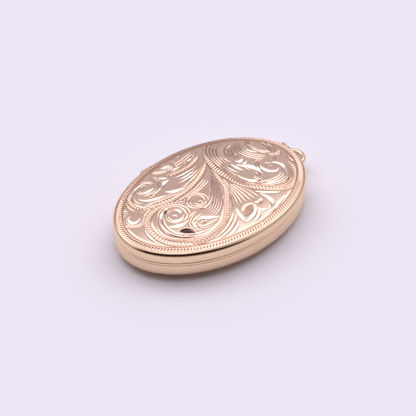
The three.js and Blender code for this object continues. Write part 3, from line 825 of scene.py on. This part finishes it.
def cover_surface(half, grid, carved):
    """The whole cover as one closed body: domed face, shoulder, wall, edge and inside."""
    share, angle = square_to_disc(*grid)
    rows, columns = share.shape
    share, angle = share.ravel(), angle.ravel()
    on_dome = share <= SHOULDER_SHARE
    turn = np.where(on_dome, SHOULDER_TURN, (1 - share) / (1 - SHOULDER_SHARE) * SHOULDER_TURN)
    x, y = ellipse_points(angle, SHOULDER - SHOULDER * np.cos(turn))
    inner = np.where(on_dome, share / SHOULDER_SHARE, 1.0)
    x, y = x * inner, y * inner
    height = np.where(on_dome, dome_height(half, inner), half["wall"] + SHOULDER * np.sin(turn))
    attributes = {}
    if carved:
        height = height + sample_map(relief, x, y)
        # Painted shade and painted highlight for the carved face.
        attributes["painted_shade"] = sample_map(painted_shade_map, x, y)
        attributes["painted_highlight"] = sample_map(painted_highlight_map, x, y)

    previous = edge = boundary_of_grid(columns, rows)
    count = len(edge)
    vertices = [np.stack([x, y, height], 1)]
    faces = grid_faces(columns, rows)
    start = rows * columns
    for loop_inset, scale, loop_height in wall_loops(half):
        lx, ly = ellipse_points(angle[edge], loop_inset)
        vertices.append(np.stack([lx * scale, ly * scale, np.full(count, loop_height)], 1))
        current = list(range(start, start + count))
        for i in range(count):
            j = (i + 1) % count
            faces.append((previous[j], previous[i], current[i], current[j]))
        previous = current
        start += count
    vertices.append(np.array([[0, 0, dome_height(half, 0, SHEET)]]))
    for i in range(count):
        faces.append((previous[(i + 1) % count], previous[i], start))
    points = np.concatenate(vertices)
    points[:, 2] = level(half, points[:, 2])
    return (points, faces), attributes


def set_attributes(piece, attributes):
    """Stores one number per vertex; vertices past the carved face get 0."""
    for name, values in attributes.items():
        layer = piece.data.attributes.new(name, "FLOAT", "POINT")
        padded = np.zeros(len(piece.data.vertices), np.float32)
        padded[: len(values)] = values
        layer.data.foreach_set("value", padded)


def paint_wall_reflection(piece):
    """Paints a lighter, yellower colour at the sides as a painted reflection, so the metal looks yellower
    there.
    """
    points = np.empty(3 * len(piece.data.vertices), np.float32)
    piece.data.vertices.foreach_get("co", points)
    x, y, _ = points.reshape(-1, 3).T / MM
    share = np.hypot(x / HALF_WIDTH, y / HALF_LENGTH)
    set_attributes(piece, {"painted_wall_reflection": clamped((share - PAINTED_WALL_FROM) / PAINTED_WALL_FADE)})


def make_covers():
    shape, attributes = cover_surface(FRONT, ENGRAVED_GRID, True)
    front = new_piece("engraved_front_cover", shape, "front_half", "engraved_gold", ["front_cover"])
    set_attributes(front, attributes)
    paint_wall_reflection(front)
    shape, _ = cover_surface(BACK, PLAIN_GRID, False)
    paint_wall_reflection(new_piece("plain_back_cover", shape, "back_half", "rose_gold", ["back_cover"]))


# ---------- rims, frames, windows, cards
# Pairs are the outer and inner insets of a part, or its two heights from the opening line.
RING_ROUNDING = 0.05
BAND = (0.035, 0.395)
COLLAR = (0.48, 0.8)
LIP = (0.85, 1.1)
LIP_RISE = 0.6
LIP_FOOT = 0.45
FRAME = (0.83, 1.8)
FRAME_WALL_INSET = 1.0
FRAME_DEPTH = 0.62
FRAME_FLANGE = 0.12
PLATE_BEVEL = 0.03
PLATE_CORE = 4.0
FILM = {"name": "film", "node": "window", "slot": "clear_window",
        "inset": 1.05, "gap": 0.03, "thickness": 0.14}
CARD = {"name": "card", "node": "picture_card", "slot": "picture_card",
        "inset": 1.1, "gap": 0.04, "thickness": 0.2}


def make_half_ring(name, node, half, section, slot):
    """A ring following the outline, from a section of (inset, height from the opening line)."""
    rows = [outline_row(inset, level(half, height)) for inset, height in rounded(section, RING_ROUNDING)]
    return new_piece(name, loft(rows, True), half["body"], slot, [node])


def make_rims():
    near, far = BAND
    top = BACK["collar"]
    band = [(0.0, near), (0.0, far), (COLLAR[0], far), (COLLAR[0], top), (COLLAR[1], top),
            (COLLAR[1], LIP_FOOT), (LIP[1], LIP_FOOT), (LIP[1], -LIP_RISE),
            (LIP[0], -LIP_RISE), (LIP[0], near)]
    paint_wall_reflection(make_half_ring("back_rim_band", "back_rim", BACK, band, "rose_gold"))
    top = FRONT["collar"]
    collar = [(COLLAR[0], near), (COLLAR[0], top), (COLLAR[1], top), (COLLAR[1], near)]
    make_half_ring("front_rim_collar", "front_rim", FRONT, collar, "rose_gold")


def make_photo_frames():
    for half in (BACK, FRONT):
        face = half["frame_face"]
        rim = face + FRAME_DEPTH
        flange = face + FRAME_FLANGE
        section = [(FRAME[0], face), (FRAME[0], rim), (FRAME_WALL_INSET, rim), (FRAME_WALL_INSET, flange),
                   (FRAME[1], flange), (FRAME[1], face)]
        name = half["name"]
        make_half_ring(name + "_frame_ring", name + "_photo_frame", half, section, "frame_gold")


def make_plate(half, plate, near):
    """A thin oval plate with softened edges."""
    far = near + plate["thickness"]
    rim = plate["inset"]
    face = rim + PLATE_BEVEL
    core = rim + PLATE_CORE
    loops = [(core, near), (face, near), (rim, near + PLATE_BEVEL),
             (rim, far - PLATE_BEVEL), (face, far), (core, far)]
    rows = [outline_row(inset, level(half, height)) for inset, height in loops]
    name = half["name"] + "_"
    new_piece(name + plate["name"], loft(rows, False), half["body"], plate["slot"],
              [name + plate["node"]], smooth=False)


def make_pictures():
    """In each half, the clear film and behind it the picture card."""
    for half in (BACK, FRONT):
        near = half["frame_face"] + FRAME_FLANGE
        for plate in (FILM, CARD):
            near += plate["gap"]
            make_plate(half, plate, near)
            near += plate["thickness"]


# ---------- hinge
HINGE_OUTSTAND = 0.55
HINGE_X = -(HALF_WIDTH + HINGE_OUTSTAND)
KNUCKLE_COUNT = 5
KNUCKLE_GAP = 0.04
KNUCKLE_ROUNDING = 0.06
KNUCKLE_STEPS = 48
HINGE_LENGTH = 7.0
BARREL = 0.5
BORE = 0.27
PIN = 0.22
PIN_STEPS = 32
PIN_END = HINGE_LENGTH / 2 + 0.01
PEEN_FOOT = 0.3
PEEN = 0.34
PEEN_START = HINGE_LENGTH / 2 + 0.02
PEEN_RISE = 0.14
PEEN_TIP = 0.002
PEEN_STEPS = 5
SADDLE_STATIONS = 15
SADDLE_ARC_STEPS = 7
SADDLE_HEIGHT = 0.62
SADDLE_STEP = 0.35
SADDLE_CLEARANCE = 0.04
SADDLE_FOOT = 0.06
SADDLE_TOE = 0.001
WALL_GAP = 0.01


def lathe_y(profile, centre_y, steps):
    """A closed ring of (radius, y) points turned about the hinge line."""
    turn = np.linspace(0, 2 * math.pi, steps, endpoint=False)
    rows = [np.stack([HINGE_X + radius * np.cos(turn), np.full(steps, centre_y + y),
                      SEAM_Z + radius * np.sin(turn)], 1) for radius, y in profile]
    return loft(rows, True)


def make_knuckles():
    pitch = HINGE_LENGTH / KNUCKLE_COUNT
    end = pitch / 2 - KNUCKLE_GAP
    section = [(BORE, -end), (BARREL, -end), (BARREL, end), (BORE, end)]
    for k in range(KNUCKLE_COUNT):
        half_name = "front" if k % 2 else "back"
        label = f"{half_name}_{k // 2 + 1}"
        centre_y = (k - KNUCKLE_COUNT // 2) * pitch
        shape = lathe_y(rounded(section, KNUCKLE_ROUNDING), centre_y, KNUCKLE_STEPS)
        new_piece("knuckle_" + label, shape, half_name + "_half", "yellow_gold",
                  ["hinge_knuckle_" + label])


def make_pin():
    """The pin, peened to a low dome at each end."""
    tip = PEEN_START + PEEN_RISE
    dome = [(PEEN * math.cos(t) + PEEN_TIP, PEEN_START + PEEN_RISE * math.sin(t))
            for t in np.linspace(0, math.pi / 2, PEEN_STEPS)]
    profile = [(PIN, 0.0), (PIN, PIN_END), (PEEN_FOOT, PIN_END)] + dome
    mirrored = [(radius, -y) for radius, y in reversed(profile[1:])]
    rows = profile + [(PEEN_TIP / 2, tip), (PEEN_TIP / 2, -tip)] + mirrored
    new_piece("peened_pin", lathe_y(rows, 0.0, PIN_STEPS), "back_half", "pin_metal", ["hinge_pin"])


def make_bearers():
    """The saddles between the side wall and the knuckles, hollowed to the barrel."""
    radius = BARREL + SADDLE_CLEARANCE
    for half in (BACK, FRONT):
        rows = []
        for y in np.linspace(-HINGE_LENGTH / 2, HINGE_LENGTH / 2, SADDLE_STATIONS):
            wall = HALF_WIDTH * math.sqrt(1 - (y / HALF_LENGTH) ** 2)
            reach = -wall - WALL_GAP - HINGE_X
            start = min(reach, math.sqrt(radius ** 2 - SADDLE_FOOT ** 2))
            angles = np.linspace(math.acos(start / radius), math.pi / 2, SADDLE_ARC_STEPS)
            arc = [(radius * math.cos(a), radius * math.sin(a)) for a in angles]
            outline = arc + [(0.0, SADDLE_HEIGHT), (reach, SADDLE_HEIGHT), (reach, SADDLE_STEP),
                             (reach, arc[0][1] + SADDLE_TOE)]
            rows.append([(HINGE_X + dx, y, level(half, dz)) for dx, dz in outline])
        new_piece("hinge_saddle_" + half["name"], loft(rows, False), half["body"], "yellow_gold",
                  ["hinge_bearer_" + half["name"]], smooth=False)


# ---------- bow and jump ring
BOW_WIRE = 0.46
BOW_MEAN = 1.85
BOW_OUTSTAND = 0.95
BOW_CENTRE = (0.0, HALF_LENGTH + BOW_OUTSTAND, (bow_low[2] + bow_high[2]) / 2 / MM)
BOW_TURN = (-37, 217)
BOW_STATIONS = 120
BOW_STEPS = 28
FILLET = 0.12
FILLET_FADE = 3.0
RING_WIRE = 0.33
RING_MEAN = 2.1
RING_CENTRE = np.array([-0.99, 18.96, 2.0])
RING_LEAN = math.radians(52.4)
RING_HEADING = math.radians(63.7)
RING_STATIONS = 220
RING_STEPS = 24
SPLIT_AT = 0.6
SPLIT_HALF = 0.04
SPLIT_SHARE = 0.22


def swept(centres, normals, binormals, radii, steps, closed):
    """A tube of varying radius through the given centres."""
    turn = np.linspace(0, 2 * math.pi, steps, endpoint=False)[:, None]
    rows = [centre + radius * (np.cos(turn) * u + np.sin(turn) * w)
            for centre, u, w, radius in zip(centres, normals, binormals, radii)]
    return loft(rows, closed)


def make_bow():
    """Round wire bent to a loop, with a small solder fillet where each leg meets the wall."""
    angles = np.radians(np.linspace(*BOW_TURN, BOW_STATIONS))
    radial = np.stack([np.cos(angles), np.sin(angles), np.zeros_like(angles)], 1)
    centres = np.array(BOW_CENTRE) + BOW_MEAN * radial
    up = np.tile([0.0, 0.0, 1.0], (BOW_STATIONS, 1))
    station = np.arange(BOW_STATIONS)
    from_end = np.minimum(station, station[::-1])
    radii = BOW_WIRE + FILLET * np.exp(-from_end / FILLET_FADE)
    shape = swept(centres, radial, up, radii, BOW_STEPS, False)
    new_piece("bow_loop", shape, "back_half", "yellow_gold", ["bow"])


def make_jump_ring():
    """A round wire ring with the fine line where its ends meet."""
    normal = np.array([math.sin(RING_LEAN) * math.cos(RING_HEADING),
                       math.sin(RING_LEAN) * math.sin(RING_HEADING), math.cos(RING_LEAN)])
    u = np.array([-math.sin(RING_HEADING), math.cos(RING_HEADING), 0.0])
    w = np.cross(normal, u)
    angles = np.linspace(0, 2 * math.pi, RING_STATIONS, endpoint=False)
    radial = np.cos(angles)[:, None] * u + np.sin(angles)[:, None] * w
    centres = RING_CENTRE + RING_MEAN * radial
    split = np.abs(np.angle(np.exp(1j * (angles - SPLIT_AT)))) * RING_MEAN
    radii = RING_WIRE * (1 - SPLIT_SHARE * np.exp(-((split / SPLIT_HALF) ** 2)))
    shape = swept(centres, radial, np.tile(normal, (RING_STATIONS, 1)), radii, RING_STEPS, True)
    new_piece("jump_ring_wire", shape, "jump_ring", "yellow_gold", ["jump_ring"])


# ---------- camera
CAMERA_AZIMUTH = math.radians(90 - 43.74)
CAMERA_ELEVATION = 39.39
CAMERA_DISTANCE = 151.14
CAMERA_TARGET = np.array([0.652, -1.471, 3.1])
CAMERA_LENS = 86.5
CAMERA_SENSOR = 36.0
CAMERA_CLIP_M = (0.005, 20.0)


def direction(azimuth, elevation):
    """Unit vector for an azimuth, from the camera's own, and an elevation, both in degrees."""
    a = CAMERA_AZIMUTH + math.radians(azimuth)
    e = math.radians(elevation)
    return (math.cos(e) * math.sin(a), -math.cos(e) * math.cos(a), math.sin(e))


def make_camera():
    data = bpy.data.cameras.new("camera")
    camera = new_object("camera", data)
    away = np.array(direction(0, CAMERA_ELEVATION))
    camera.location = tuple((CAMERA_TARGET + CAMERA_DISTANCE * away) * MM)
    camera.rotation_euler = (math.pi / 2 - math.radians(CAMERA_ELEVATION), 0, CAMERA_AZIMUTH)
    data.lens = CAMERA_LENS
    data.sensor_width = CAMERA_SENSOR
    data.clip_start, data.clip_end = CAMERA_CLIP_M
    bpy.context.scene.camera = camera


# ---------- floor and light
FLOOR_HALF_M = 3.0
FLOOR_COLOR = (0.92, 0.88, 0.91, 1)
FLOOR_ROUGHNESS = 0.9
FLOOR_SPECULAR = 0.1
BACKDROP = (0.855, 0.807, 0.921, 1)


def make_floor():
    mesh = bpy.data.meshes.new("floor")
    corners = [(a * FLOOR_HALF_M, b * FLOOR_HALF_M, 0) for a, b in ((-1, -1), (1, -1), (1, 1), (-1, 1))]
    mesh.from_pydata(corners, [], [(0, 1, 2, 3)])
    material, tree, bsdf = shader("floor_paper")
    fill(tree, bsdf, {"Base Color": FLOOR_COLOR, "Roughness": FLOOR_ROUGHNESS,
                      "Specular IOR Level": FLOOR_SPECULAR})
    mesh.materials.append(material)
    new_object("floor", mesh)


# Places are azimuth, from the camera's own, and elevation in degrees. Spreads are shares along an
# axis, from where a zone starts to where it is full.
UP = (0, 0, 1)
DOWN = (0, 0, -1)
HORIZON = (0.4, 0.27, 0.17, 1)
WALLS = (0.65, 0.615, 0.69, 1)
WALL_SPREAD = (0.0, 0.42)
OVERHEAD = (1.84, 1.83, 2.06, 1)
OVERHEAD_AT = (180, 78.5)
OVERHEAD_SPREAD = (0.85, 0.94)
SIDE_BOX = (2.1, 2.1, 2.32, 1)
SIDE_BOXES = ((-128, 50), (132, 50))
SIDE_BOX_SPREAD = np.cos(np.radians((25, 13)))
DARK_ROOM = (0.012, 0.009, 0.006, 1)
DARK_SPREAD = (0.28, 0.5)
DARK_FOOT = np.sin(np.radians((5, 15)))
DARK_TOP = -np.sin(np.radians((61, 56)))


def make_world():
    """A white studio: pale walls, an overhead box, and the dark room that the camera stands in."""
    world = bpy.data.worlds.new("studio")
    bpy.context.scene.world = world
    world.use_nodes = True
    tree = world.node_tree
    tree.nodes.clear()
    vector = add(tree, "TexCoord", "Generated")

    def zone(towards, start, end):
        """Rises from 0 to 1 as the direction's share along an axis goes from start to end."""
        share = add(tree, "VectorMath", "Value", {0: vector, 1: towards}, operation="DOT_PRODUCT")
        return add(tree, "MapRange", "Result", {"Value": share, "From Min": start, "From Max": end},
                   interpolation_type="SMOOTHSTEP")

    color = mix_color(tree, zone(UP, *WALL_SPREAD), HORIZON, WALLS)
    color = mix_color(tree, zone(direction(*OVERHEAD_AT), *OVERHEAD_SPREAD), color, OVERHEAD)
    for place in SIDE_BOXES:
        color = mix_color(tree, zone(direction(*place), *SIDE_BOX_SPREAD), color, SIDE_BOX)
    dark = times(tree, zone(direction(0, 0), *DARK_SPREAD), zone(DOWN, *DARK_TOP))
    dark = times(tree, dark, zone(UP, *DARK_FOOT))
    color = mix_color(tree, dark, color, DARK_ROOM)
    reflected = add(tree, "Background", "Background", {"Color": color})
    backdrop = add(tree, "Background", "Background", {"Color": BACKDROP})
    seen = add(tree, "LightPath", "Is Camera Ray")
    light = add(tree, "MixShader", "Shader", {0: seen, 1: reflected, 2: backdrop})
    fill(tree, tree.nodes.new("ShaderNodeOutputWorld"), {"Surface": light})


# ---------- build
draw_engraving()
make_covers()
make_rims()
make_photo_frames()
make_pictures()
make_knuckles()
make_pin()
make_bearers()
make_bow()
make_jump_ring()
make_camera()
make_floor()
make_world()
bpy.context.scene.view_settings.view_transform = "Standard"
bpy.context.scene.view_settings.look = "None"
